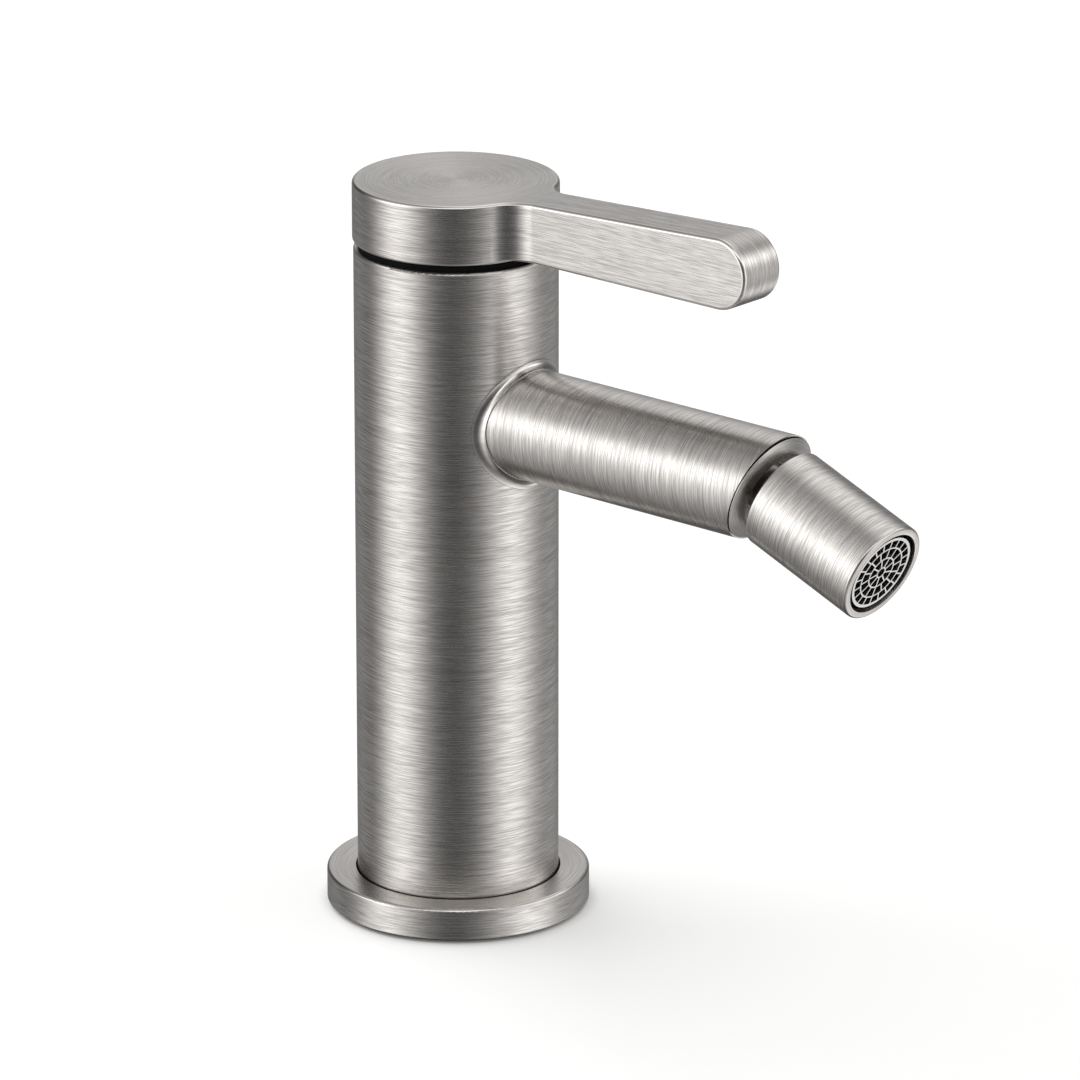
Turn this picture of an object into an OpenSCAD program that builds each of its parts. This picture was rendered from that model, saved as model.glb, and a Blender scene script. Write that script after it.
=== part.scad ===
// Single-hole bidet mixer with a turning lever and a ball-jointed aerator nozzle.
// Millimetres. +Z is up, +X runs along the spout, and the origin is on the body's axis at the deck.

/* [Base] */
// Outer diameter of the base flange
flange_d = 52.2; // [50:0.1:64]
// Height of the flange's top face above the deck
flange_top = 7; // [6:0.1:12]
// Rounding of the flange's top edge
flange_edge = 0.6; // [0.2:0.1:1]
// Bevel of the flange's lower edge
flange_foot = 0.4; // [0.2:0.1:0.8]
// Bevel of the flange's inner edge around the body
foot_seam = 0.35; // [0.2:0.05:0.6]
// Metal left between the gasket's groove and the foot of the body
flange_floor = 1; // [0.6:0.1:2]
// How far the gasket stands below the flange
gasket_proud = 0.4; // [0.2:0.1:0.8]
// Depth of the gasket's groove in the flange
gasket_groove = 1.6; // [1:0.1:2]
// Radial width of the gasket
gasket_w = 3; // [2:0.1:4]
// Flange left outside the gasket's groove
gasket_margin = 2.6; // [2:0.1:4]

/* [Body] */
// Outer diameter of the body tube
body_d = 40; // [39:0.5:48]
// Wall of the body around the cartridge
body_wall = 2.4; // [2:0.1:2.8]
// Rounding of the body's top edge
body_edge = 0.4; // [0.2:0.1:0.8]
// Ledge that carries the cartridge seat
seat_ledge = 0.8; // [0.6:0.1:1.2]
// Ledge at the foot that carries the inlet block
foot_ledge = 1.4; // [1:0.1:1.8]
// Height of the foot's ledge above the foot
foot_ledge_h = 4; // [3:0.1:8]

/* [Inlets] */
// Diameter of the fixing stud's hole, tapped M8
stud_hole_d = 6.8; // [5:0.1:6.8]
// Depth of the fixing stud's hole
stud_hole_depth = 14; // [10:0.5:20]
// Diameter of a hose port, tapped M10 x 1
hose_port_d = 9; // [8:0.1:9.4]
// Depth of a hose port
hose_port_depth = 12; // [10:0.5:16]
// Wall between a hose port and the outside of the inlet block
block_wall = 1.55; // [1:0.05:2]
// Web between a hose port and the tube socket above it
block_web = 4; // [2:0.5:8]
// Depth of a tube socket in the inlet block
block_socket = 8; // [6:0.5:12]
// Outer diameter of an inlet tube
tube_d = 8; // [7:0.1:8.4]
// Wall of an inlet tube
tube_wall = 1; // [0.6:0.1:1.4]

/* [Cartridge] */
// Thickness of the cartridge seat
seat_t = 6; // [5.5:0.5:10]
// Depth of a tube socket in the cartridge seat
seat_socket = 4; // [3.5:0.1:4.5]
// Diameter of the mixed-water outlet through the discs
outlet_d = 6; // [5:0.1:6.4]
// Diameter of a hot or cold port through the discs
disc_port_d = 4.4; // [3.6:0.1:4.8]
// Web between the seals of neighbouring ports
seal_web = 0.6; // [0.4:0.1:1]
// Rim of the fixed disc outside its ports
disc_rim = 1.6; // [1.2:0.1:2]
// Thickness of each ceramic disc
disc_t = 3; // [2.5:0.1:4]
// How much smaller the moving disc is than the fixed disc, on the radius
disc_step = 0.5; // [0.3:0.1:1]
// Depth of the mixing pocket in the moving disc
pocket_depth = 1.6; // [1:0.1:1.6]
// Thickness of the cartridge base
base_t = 2.5; // [2:0.1:4]
// Wall of the cartridge housing
housing_wall = 1.9; // [1.2:0.1:2]
// Thickness of the housing's top plate
housing_plate = 1.5; // [1.2:0.1:3]
// Thickness of the spindle's drive flange
drive_t = 2; // [1.5:0.1:3]
// Diameter of a drive dog between spindle and moving disc
dog_d = 2.6; // [2:0.1:3]
// Height of a drive dog
dog_h = 0.8; // [0.5:0.1:1]
// Diameter of the spindle's round shaft
spindle_d = 10; // [9.4:0.1:11]
// Width across the flats of the spindle's square
square_w = 6.6; // [6:0.1:6.6]
// Wall of the housing's neck around the spindle
neck_wall = 2.5; // [2:0.1:3]
// How far the housing's neck stands above the nut
neck_proud = 0.5; // [0.2:0.1:1]
// Height of the cartridge nut
nut_h = 4.5; // [3.5:0.1:8]
// Diameter of the nut's spanner holes
nut_hole_d = 2.4; // [2:0.1:3]
// Depth of the nut's spanner holes
nut_hole_depth = 2.5; // [2:0.1:3]

/* [Handle] */
// Gap between the body's top and the cap
cap_gap = 1.4; // [1:0.1:2]
// Height of the cap
cap_h = 12; // [11:0.1:18]
// How far the cap stands out past the body, on the radius
cap_overhang = 0.2; // [0:0.05:0.6]
// Thickness of the cap's top wall
cap_top_t = 3; // [2.5:0.1:4]
// Thickness of the cap's skirt
cap_skirt = 3; // [2.5:0.1:4]
// Lever tip's distance from the body's axis
lever_tip = 77.5; // [60:0.5:100]
// Thickness of the lever, side to side
lever_t = 10.6; // [8:0.1:13]
// How far the lever's underside lies above the cap's lower edge
lever_lift = 0.6; // [0.2:0.1:2]
// Angle at which the lever's top rises towards the tip
lever_rise = 2.6; // [0.5:0.1:5]
// Distance from the body's axis at which the lever's top starts to rise
lever_rise_x = 15; // [12:0.1:19]
// Radius of the hollow where the lever grows out of the cap
lever_root_r = 7.5; // [4:0.1:10]
// Wall of the square adaptor at the square's corners
insert_wall = 1.8; // [1.4:0.1:2.4]
// Wall of the boss that holds the adaptor
boss_wall = 2.5; // [2:0.1:3]
// How far the boss stops short of the cap's lower edge
boss_inset = 1; // [0.6:0.1:2]
// Diameter of the grub screw, M4
grub_d = 4; // [3:0.1:5]
// Length of the grub screw
grub_l = 12; // [10:0.5:13]
// Width across the flats of the grub screw's socket
grub_key = 2; // [1.5:0.1:2.5]
// Depth of the grub screw's socket
grub_key_depth = 2.5; // [2:0.1:4]
// Width of the web that carries the grub screw
grub_web = 8; // [7:0.1:12]
// Height of the glide ring above the body's top
glide_h = 1.1; // [0.7:0.1:1.1]
// How far the glide ring is set back from the body's face
glide_inset = 1; // [0.5:0.1:2]
// Depth of the glide ring's spigot in the body
glide_spigot = 2.2; // [1.6:0.1:4]
// Radial thickness of the glide ring's spigot
glide_t = 2; // [1.5:0.1:3]

/* [Spout] */
// Height of the spout's axis above the deck
spout_z = 102.9; // [80:0.1:140]
// Distance from the body's axis to the spout's mitred end, on the spout's axis
spout_reach = 79.4; // [66:0.1:110]
// Outer diameter of the spout tube
spout_d = 21.8; // [21.4:0.1:24]
// Bore of the spout tube
spout_bore = 15; // [13.6:0.1:16]
// Outer diameter of the threaded nipple between body and spout
nipple_d = 12; // [11:0.1:12.6]
// Wall of the nipple
nipple_wall = 1.6; // [1.2:0.1:2]
// Length of the nipple's thread inside the spout, from the body's face
nipple_grip = 14; // [10:0.5:20]
// How far the nipple reaches into the body's chamber
nipple_lip = 2; // [1:0.1:3]
// Wall left between the nipple's hole and the cartridge seat above it
nipple_roof = 1.5; // [1:0.1:4]
// Width of the coved collar on the body, outwards from the spout
cove_w = 1.9; // [1.4:0.1:3.5]
// Length of the coved collar along the spout
cove_h = 0.6; // [0.5:0.1:3]
// Thickness of the collar's two thin lips
cove_lip = 0.15; // [0.1:0.05:0.3]

/* [Ball joint] */
// Angle by which the nozzle's rest axis points below the spout
nozzle_fall = 21.6; // [10:0.1:24]
// Depth of the ball's centre behind the spout's end
ball_depth = 4; // [3.5:0.1:4.5]
// Diameter of the swivel ball
ball_d = 12; // [11.4:0.1:12.2]
// Radius about the ball's centre that the ring's shoulder stays inside
nose_r = 12; // [11.6:0.1:12.4]
// Width of the seam between the spout's end and the ring
ring_seam = 0.3; // [0.2:0.05:0.5]
// Diameter of the ring's threaded spigot
ring_spigot_d = 16.4; // [15.8:0.1:17]
// Length of the ring's threaded spigot
ring_spigot_l = 3.4; // [2.8:0.1:3.6]
// Diameter of the ring's opening that keeps the ball in
ring_mouth_d = 9.8; // [9.4:0.1:10.4]
// How far the ring's front edge stands out from the spout's end
ring_front = 1.6; // [1.2:0.1:2.4]
// Outer diameter of the ring's front edge
ring_lip_d = 16.8; // [16.6:0.1:17.6]
// Inner diameter of the ring's flared front
ring_flare_d = 16; // [15:0.1:16.2]
// Diameter of the ball seat ring
ball_seat_d = 13.8; // [13.2:0.1:14]
// Length of the ball seat ring
ball_seat_l = 2.4; // [2:0.1:2.8]
// Distance from the ball's centre back to the ball seat ring's front
ball_seat_back = 2.2; // [1.8:0.1:2.4]
// Length of the water way behind the ball seat
ball_way = 6.4; // [5:0.1:7]
// Diameter of the water way behind the ball seat
ball_way_d = 9.6; // [8:0.1:11]

/* [Nozzle] */
// Outer diameter of the aerator housing
nozzle_d = 20.4; // [20:0.1:22]
// Distance from the spout's end to the housing's front
nozzle_front = 30.1; // [28:0.1:40]
// Gap between the ring's shoulder and the hollow back of the housing
nozzle_gap = 0.35; // [0.3:0.05:0.6]
// Size of the bevel on the housing's rear edge
nozzle_bevel = 0.5; // [0.3:0.1:1.5]
// Rounding of the housing's front edge
nozzle_edge = 0.5; // [0.2:0.1:0.8]
// Bore of the aerator housing
nozzle_bore = 17.4; // [17:0.1:17.8]
// Length of the neck beyond the spout's end
neck_reach = 14; // [12:0.1:15]
// Diameter of the ball's neck
neck_d = 6.8; // [6:0.1:7]
// Bore through the ball and neck
neck_bore = 4.8; // [4:0.1:5]
// Thickness of the aerator washer
washer_t = 1.2; // [0.8:0.1:2]
// Bore of the aerator washer
washer_bore = 10; // [8:0.1:12]
// Outer diameter of the grille
grille_d = 15.6; // [15:0.1:16]
// Thickness of the grille
grille_t = 0.8; // [0.6:0.1:1.2]
// How far the grille is set back from the housing's front
grille_inset = 0.4; // [0.2:0.1:1]
// Width of the grille's bars
grille_bar = 0.3; // [0.25:0.05:0.5]
// Width of the grille's outer ring
grille_rim = 0.6; // [0.5:0.1:1]
// Radial pitch of the grille's rings
grille_pitch = 2.2; // [1.9:0.05:2.3]
// Radius of the grille's innermost ring
grille_eye = 1.25; // [0.8:0.05:1.5]
// Bars between successive rings, from the middle outwards
grille_spokes = [9, 14, 20]; // [4:1:24]
// Depth of the dark space behind the grille
core_space = 2.4; // [2:0.1:4]
// Thickness of the aerator core's plate
core_plate = 2.5; // [2:0.1:4]
// Wall of the aerator core's rear skirt
core_wall = 1.6; // [1.2:0.1:2]
// Length of the slim front of the core, inside the housing's mouth
core_front = 3.5; // [2.8:0.1:5]
// Diameter of the core's flow holes
core_hole_d = 1.6; // [1.2:0.1:1.8]
// Number of the core's flow holes
core_holes = 8; // [6:1:10]

/* [Fits] */
// Radial clearance of pieces that are screwed or pushed together
seat_gap = 0.05; // [0.02:0.01:0.08]
// Radial clearance of pieces that turn in each other
run_gap = 0.06; // [0.03:0.01:0.1]
// Height of the play above the discs and the drive flange
play = 0.1; // [0.05:0.05:0.2]
// Cross-section of the O-rings
oring_w = 1.5; // [1.2:0.1:1.6]
// Cross-section of the cartridge's port seals
seal_w = 1.2; // [1:0.1:1.3]
// Clearance around an O-ring in its groove
oring_gap = 0.03; // [0.02:0.01:0.05]

/* [Hidden] */
$fn = 96;
// Reach of a cutting shape past the face it cuts
cut = 1;
// Side of a block that is larger than the whole mixer
block = 400;
// Depth to which the hollows at the lever's root are cut into cap and lever
root_bite = 0.02;
// Sections around the collar and steps along its hollow face
cove_sections = 64;
cove_steps = 8;
// Angles at which the lever begins and ends each water's flow
cold_open = 10;
cold_shut = 70;
hot_open = 40;
hot_shut = 110;

body_r = body_d / 2;
upper_bore_r = body_r - body_wall;
mid_bore_r = upper_bore_r - seat_ledge;
foot_bore_r = mid_bore_r - foot_ledge;
foot_z = gasket_proud + gasket_groove + flange_floor;
ledge_z = foot_z + foot_ledge_h;

hose_port_r = hose_port_d / 2;
tube_r = tube_d / 2;
tube_y = foot_bore_r - seat_gap - block_wall - hose_port_r;
port_end_z = gasket_proud + hose_port_depth;
socket_z = port_end_z + block_web;
block_top = socket_z + block_socket;
oring_room = oring_w + 2 * oring_gap;

spout_r = spout_d / 2;
nipple_r = nipple_d / 2;
seat_z = spout_z + nipple_r + seat_gap + nipple_roof;
seat_top = seat_z + seat_t;
base_top = seat_top + base_t;
fixed_top = base_top + disc_t;
moving_top = fixed_top + disc_t;
drive_top = moving_top + drive_t;
housing_top = drive_top + play + housing_plate;
nut_top = housing_top + nut_h;
body_top = nut_top + glide_spigot;

outlet_r = outlet_d / 2;
disc_port_r = disc_port_d / 2;
disc_port_y = outlet_r + 2 * seal_w + seal_web + disc_port_r;
disc_r = disc_port_y + disc_port_r + disc_rim;
moving_r = disc_r - disc_step;
cavity_r = disc_r + seat_gap;
housing_r = cavity_r + housing_wall;
spindle_r = spindle_d / 2;
neck_r = spindle_r + run_gap + neck_wall;
dog_x = moving_r / 2;
spindle_oring_z = housing_top + nut_h / 2;

cap_z = body_top + cap_gap;
cap_top = cap_z + cap_h;
cap_r = body_r + cap_overhang;
pocket_r = cap_r - cap_skirt;
pocket_top = cap_top - cap_top_t;
boss_z = cap_z + boss_inset;
insert_r = square_w / sqrt(2) + insert_wall;
boss_r = insert_r + seat_gap + boss_wall;
grub_r = grub_d / 2;
grub_z = (boss_z + pocket_top) / 2;
lever_half = lever_t / 2;
lever_z = cap_z + lever_lift;
// Centre of the hollow at the lever's root, and the place where the hollow leaves the cap
root_y = lever_half + lever_root_r;
root = [sqrt((cap_r + lever_root_r) ^ 2 - root_y ^ 2), root_y];
root_touch_x = root.x * cap_r / (cap_r + lever_root_r);
// Radius of the lever's round tip, touching its level underside and its rising top
lever_run = lever_tip - lever_rise_x;
tip_r = ((cap_top - lever_z) * cos(lever_rise) + lever_run * sin(lever_rise))
    / (1 + cos(lever_rise) + sin(lever_rise));

ball_r = ball_d / 2;
ball_s = -ball_depth;
ball_socket_r = ball_r + run_gap;
dish_r = nose_r + nozzle_gap;
nozzle_r = nozzle_d / 2;
rim_r = nozzle_r - nozzle_bevel;
rim_s = ball_s + sqrt(dish_r ^ 2 - rim_r ^ 2);
ball_seat_front = ball_s - ball_seat_back;
ball_seat_end = ball_seat_front - ball_seat_l;
ring_back = ring_seam - ring_spigot_l;
mouth_s = ball_s + sqrt(ball_socket_r ^ 2 - (ring_mouth_d / 2) ^ 2);
shoulder_r = sqrt(nose_r ^ 2 - (ring_seam - ball_s) ^ 2);
grip_x = body_r + nipple_grip;
spout_bore_end = spout_reach + (ball_seat_end - ball_way) * cos(nozzle_fall);
spout_oring_x = body_r + nipple_grip / 2;

grille_r = grille_d / 2;
grille_front = nozzle_front - grille_inset;
grille_back = grille_front - grille_t;
core_plate_front = grille_back - core_space;
core_plate_back = core_plate_front - core_plate;
core_step = grille_back - core_front;
core_back = neck_reach + washer_t;
core_r = nozzle_bore / 2 - seat_gap;

// A ring of rectangular section around Z
module ring(r_in, r_out, z0, z1) {
    rotate_extrude()
        translate([r_in, z0])
            square([r_out - r_in, z1 - z0]);
}

// A round bar or hole along Z
module rod(r, z0, z1) {
    translate([0, 0, z0])
        cylinder(r = r, h = z1 - z0);
}

// A rubber O-ring around Z, resting on a shaft of radius r
module o_ring(r, z, w) {
    rotate_extrude()
        translate([r + oring_gap + w / 2, z])
            circle(w / 2);
}

// A turned piece whose outer top edge is rounded
module turned_rounded(profile, r, z, edge) {
    rotate_extrude() {
        polygon(profile);
        translate([r - edge, z - edge])
            circle(edge);
    }
}

// The two places, hot on -Y and cold on +Y, where water comes up
module at_inlets(y) {
    for (side = [-1, 1])
        translate([0, side * y, 0])
            children();
}

// Along +X at the spout's height, with Z as the new axis
module along_spout() {
    translate([0, 0, spout_z])
        rotate([0, 90, 0])
            children();
}

// At the spout's mitred end, with Z along the nozzle's rest axis
module at_joint() {
    translate([spout_reach, 0, spout_z])
        rotate([0, 90 + nozzle_fall, 0])
            children();
}

module base_gasket() {
    groove_r = flange_d / 2 - gasket_margin;
    color("dimgray")
        ring(groove_r - gasket_w + seat_gap, groove_r - seat_gap, 0, gasket_proud + gasket_groove);
}

module base_flange() {
    r = flange_d / 2;
    groove_r = r - gasket_margin;
    foot_r = body_r + seat_gap;
    profile = [
        [foot_bore_r, gasket_proud],
        [r - flange_foot, gasket_proud],
        [r, gasket_proud + flange_foot],
        [r, flange_top - flange_edge],
        [r - flange_edge, flange_top],
        [foot_r + foot_seam, flange_top],
        [foot_r, flange_top - foot_seam],
        [foot_r, foot_z],
        [foot_bore_r, foot_z]
    ];
    color("silver")
        difference() {
            turned_rounded(profile, r, flange_top, flange_edge);
            ring(groove_r - gasket_w, groove_r, gasket_proud - cut, gasket_proud + gasket_groove);
        }
}

module body_shell() {
    profile = [
        [foot_bore_r, foot_z],
        [body_r, foot_z],
        [body_r, body_top - body_edge],
        [body_r - body_edge, body_top],
        [upper_bore_r, body_top],
        [upper_bore_r, seat_z],
        [mid_bore_r, seat_z],
        [mid_bore_r, ledge_z],
        [foot_bore_r, ledge_z]
    ];
    color("silver")
        difference() {
            turned_rounded(profile, body_r, body_top, body_edge);
            along_spout()
                rod(nipple_r + seat_gap, 0, body_d);
        }
}

module inlet_block() {
    spigot_r = foot_bore_r - seat_gap;
    shoulder_r = mid_bore_r - seat_gap;
    profile = [
        [0, gasket_proud],
        [spigot_r, gasket_proud],
        [spigot_r, ledge_z],
        [shoulder_r, ledge_z],
        [shoulder_r, block_top],
        [0, block_top]
    ];
    groove_z = socket_z + block_socket / 2;
    color("goldenrod")
        difference() {
            rotate_extrude()
                polygon(profile);
            rod(stud_hole_d / 2, gasket_proud - cut, gasket_proud + stud_hole_depth);
            at_inlets(tube_y) {
                rod(hose_port_r, gasket_proud - cut, port_end_z);
                rod(tube_r - tube_wall, port_end_z - cut, block_top);
                rod(tube_r + seat_gap, socket_z, block_top + cut);
                rod(tube_r + oring_room, groove_z - oring_room / 2, groove_z + oring_room / 2);
            }
        }
}

module inlet_tube(side) {
    translate([0, side * tube_y, 0])
        ring(tube_r - tube_wall, tube_r, socket_z, seat_z + seat_socket);
}

module hot_inlet_tube() {
    color("peru")
        inlet_tube(-1);
}

module cold_inlet_tube() {
    color("peru")
        inlet_tube(1);
}

module inlet_tube_o_rings() {
    color("dimgray")
        at_inlets(tube_y) {
            o_ring(tube_r, socket_z + block_socket / 2, oring_w);
            o_ring(tube_r, seat_z + seat_socket / 2, oring_w);
        }
}

module cartridge_seat() {
    r = upper_bore_r - seat_gap;
    groove_z = seat_z + seat_socket / 2;
    color("goldenrod")
        difference() {
            ring(outlet_r, r, seat_z, seat_top);
            ring(r - oring_room, r + cut, groove_z - oring_room / 2, groove_z + oring_room / 2);
            at_inlets(disc_port_y)
                rod(disc_port_r, seat_z + seat_socket - cut, seat_top + cut);
            at_inlets(tube_y) {
                rod(tube_r + seat_gap, seat_z - cut, seat_z + seat_socket);
                rod(tube_r + oring_room, groove_z - oring_room / 2, groove_z + oring_room / 2);
            }
        }
}

module seat_o_ring() {
    color("dimgray")
        o_ring(upper_bore_r - seat_gap - oring_room, seat_z + seat_socket / 2, oring_w);
}

module cartridge_base() {
    seal_room = seal_w + 2 * oring_gap;
    color("whitesmoke")
        difference() {
            ring(outlet_r, housing_r, seat_top, base_top);
            rod(outlet_r + seal_room, seat_top - cut, seat_top + seal_w);
            at_inlets(disc_port_y) {
                rod(disc_port_r, seat_top - cut, base_top + cut);
                rod(disc_port_r + seal_room, seat_top - cut, seat_top + seal_w);
            }
        }
}

module cartridge_base_seals() {
    color("dimgray") {
        o_ring(outlet_r, seat_top + seal_w / 2, seal_w);
        at_inlets(disc_port_y)
            o_ring(disc_port_r, seat_top + seal_w / 2, seal_w);
    }
}

module fixed_ceramic_disc() {
    color("white")
        difference() {
            ring(outlet_r, disc_r, base_top, fixed_top);
            at_inlets(disc_port_y)
                rod(disc_port_r, base_top - cut, fixed_top + cut);
        }
}

// One wing of the moving disc's pocket, from angle a to angle b
module pocket_wing(a, b) {
    start_r = outlet_r / 2;
    rotate([0, 0, a])
        rotate_extrude(angle = b - a)
            translate([start_r, fixed_top - cut])
                square([disc_port_y + disc_port_r - start_r, pocket_depth + cut]);
}

module moving_ceramic_disc() {
    cold_side = 90;
    hot_side = 270;
    color("white")
        difference() {
            rod(moving_r, fixed_top, moving_top);
            rod(outlet_r, fixed_top - cut, fixed_top + pocket_depth);
            pocket_wing(cold_side - cold_shut, cold_side - cold_open);
            pocket_wing(hot_side - hot_shut, hot_side - hot_open);
            for (side = [-1, 1])
                translate([side * dog_x, 0, 0])
                    rod(dog_d / 2 + seat_gap, moving_top - dog_h - play, moving_top + cut);
        }
}

module cartridge_spindle() {
    square_top = pocket_top - play;
    color("lightgray")
        difference() {
            union() {
                rod(moving_r, moving_top, drive_top);
                rod(spindle_r, moving_top, boss_z);
                translate([-square_w / 2, -square_w / 2, drive_top])
                    cube([square_w, square_w, square_top - drive_top]);
                for (side = [-1, 1])
                    translate([side * dog_x, 0, 0])
                        rod(dog_d / 2, moving_top - dog_h, drive_top);
            }
            ring(spindle_r - oring_room, spindle_r + cut,
                spindle_oring_z - oring_room / 2, spindle_oring_z + oring_room / 2);
        }
}

module spindle_o_ring() {
    color("dimgray")
        o_ring(spindle_r - oring_room, spindle_oring_z, oring_w);
}

module cartridge_housing() {
    bore_r = spindle_r + run_gap;
    plate_z = drive_top + play;
    neck_top = nut_top + neck_proud;
    profile = [
        [cavity_r, base_top],
        [housing_r, base_top],
        [housing_r, housing_top],
        [neck_r, housing_top],
        [neck_r, neck_top],
        [bore_r, neck_top],
        [bore_r, plate_z],
        [cavity_r, plate_z]
    ];
    color("whitesmoke")
        rotate_extrude()
            polygon(profile);
}

module cartridge_nut() {
    r_in = neck_r + seat_gap;
    r_out = upper_bore_r - seat_gap;
    color("goldenrod")
        difference() {
            ring(r_in, r_out, housing_top, nut_top);
            for (angle = [0, 90, 180, 270])
                rotate([0, 0, angle])
                    translate([(r_in + r_out) / 2, 0, 0])
                        rod(nut_hole_d / 2, nut_top - nut_hole_depth, nut_top + cut);
        }
}

module glide_ring() {
    spigot_r = upper_bore_r - seat_gap;
    flat_r = body_r - glide_inset;
    inner_r = spigot_r - glide_t;
    profile = [
        [inner_r, nut_top],
        [spigot_r, nut_top],
        [spigot_r, body_top],
        [flat_r, body_top],
        [flat_r, body_top + glide_h],
        [inner_r, body_top + glide_h]
    ];
    color("black")
        rotate_extrude()
            polygon(profile);
}

// A tall prism with the keyhole outline that cap and lever have from above
module handle_plan() {
    difference() {
        union() {
            cylinder(r = cap_r, h = block);
            translate([0, -lever_half, 0])
                cube([lever_tip, lever_t, block]);
            linear_extrude(block)
                polygon([[0, 0], root, [root.x, -root.y]]);
        }
        for (side = [-1, 1])
            translate([root.x, side * root.y, -cut])
                cylinder(r = lever_root_r + root_bite, h = block + 2 * cut);
    }
}

// The side outline of cap and lever: level below, rising above, round at the tip
module handle_side() {
    tip_x = lever_tip - tip_r;
    tip_z = lever_z + tip_r;
    translate([tip_x, tip_z])
        circle(tip_r);
    polygon([
        [-block, cap_z],
        [root_touch_x, cap_z],
        [cap_r, lever_z],
        [tip_x, lever_z],
        [tip_x, tip_z],
        [tip_x - tip_r * sin(lever_rise), tip_z + tip_r * cos(lever_rise)],
        [lever_rise_x, cap_top],
        [-block, cap_top]
    ]);
}

module lever_handle() {
    color("silver")
        difference() {
            intersection() {
                handle_plan();
                translate([0, block / 2, 0])
                    rotate([90, 0, 0])
                        linear_extrude(block)
                            handle_side();
            }
            difference() {
                rod(pocket_r, cap_z - cut, pocket_top);
                rod(boss_r, boss_z, pocket_top + cut);
                translate([-pocket_r - cut, -grub_web / 2, boss_z])
                    cube([pocket_r + cut, grub_web, pocket_top + cut - boss_z]);
            }
            rod(insert_r + seat_gap, cap_z, pocket_top);
            translate([0, 0, grub_z])
                rotate([0, -90, 0])
                    rod(grub_r + seat_gap, 0, cap_r + cut);
        }
}

module handle_insert() {
    hole = square_w + 2 * seat_gap;
    color("dimgray")
        difference() {
            rod(insert_r, boss_z, pocket_top);
            translate([-hole / 2, -hole / 2, boss_z - cut])
                cube([hole, hole, pocket_top - boss_z + 2 * cut]);
            translate([0, 0, grub_z])
                rotate([0, -90, 0])
                    rod(grub_r + seat_gap, 0, insert_r + cut);
        }
}

module handle_grub_screw() {
    tip = square_w / 2 + seat_gap;
    color("darkgray")
        translate([0, 0, grub_z])
            rotate([0, -90, 0])
                difference() {
                    rod(grub_r, tip, tip + grub_l);
                    translate([0, 0, tip + grub_l - grub_key_depth])
                        cylinder(r = grub_key / sqrt(3), h = grub_key_depth + cut, $fn = 6);
                }
}

module spout_nipple() {
    color("goldenrod")
        along_spout()
            ring(nipple_r - nipple_wall, nipple_r, mid_bore_r - nipple_lip, grip_x);
}

module spout_o_ring() {
    color("dimgray")
        along_spout()
            o_ring(nipple_r, spout_oring_x, oring_w);
}

// Point on the circle of radius r around the spout's axis, at a distance x along it
function around_spout(x, r, a) = [x, r * cos(a), spout_z + r * sin(a)];

// Distance along the spout at which that circle meets a cylinder of radius big around the body
function saddle_x(big, r, a) = sqrt(big ^ 2 - (r * cos(a)) ^ 2);

// Point of a hollow curve from u to v that is drawn towards w, part of the way along
function on_hollow(u, v, w, part) =
    (1 - part) ^ 2 * u + 2 * part * (1 - part) * w + part ^ 2 * v;

// Closed section of the collar at angle a: corner, lip on the spout, hollow face, lip on the body
function cove_section(a, big, small) =
    let (
        foot_r = small + cove_w,
        middle_r = small + cove_w / 2,
        lip_r = small + cove_lip,
        lip_big = big + cove_lip,
        corner = around_spout(saddle_x(big, small, a), small, a),
        tip = around_spout(corner.x + cove_h, small, a),
        tip_lip = around_spout(tip.x, lip_r, a),
        bend = around_spout(saddle_x(lip_big, lip_r, a), lip_r, a),
        foot_lip = around_spout(saddle_x(lip_big, foot_r, a), foot_r, a),
        foot = around_spout(saddle_x(big, foot_r, a), foot_r, a),
        middle = around_spout(saddle_x(big, middle_r, a), middle_r, a)
    )
    concat(
        [corner, tip],
        [for (i = [0:cove_steps]) on_hollow(tip_lip, foot_lip, bend, i / cove_steps)],
        [foot, middle]
    );

module spout_collar() {
    small = (spout_r + seat_gap) / cos(180 / cove_sections);
    big = body_r + seat_gap;
    rings = [for (i = [0:cove_sections - 1]) cove_section(i * 360 / cove_sections, big, small)];
    count = len(rings[0]);
    faces = [
        for (i = [0:cove_sections - 1])
            for (j = [0:count - 1])
                let (
                    near = i * count,
                    far = ((i + 1) % cove_sections) * count,
                    next = (j + 1) % count
                )
                each [[near + j, near + next, far + next], [near + j, far + next, far + j]]
    ];
    color("silver")
        polyhedron([for (section = rings) each section], faces);
}

module spout_tube() {
    color("silver")
        difference() {
            along_spout()
                rod(spout_r, 0, spout_reach + spout_d);
            at_joint()
                translate([-block / 2, -block / 2, 0])
                    cube([block, block, block]);
            rod(body_r + seat_gap, 0, body_top + block);
            along_spout() {
                rod(nipple_r + seat_gap, 0, grip_x);
                rod(nipple_r + oring_room, spout_oring_x - oring_room / 2, spout_oring_x + oring_room / 2);
                rod(spout_bore / 2, grip_x, spout_bore_end);
            }
            at_joint() {
                rod(ring_spigot_d / 2 + seat_gap, ring_back, cut);
                rod(ball_seat_d / 2 + run_gap, ball_seat_end, cut);
                rod(ball_way_d / 2, ball_seat_end - ball_way, cut);
            }
        }
}

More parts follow.
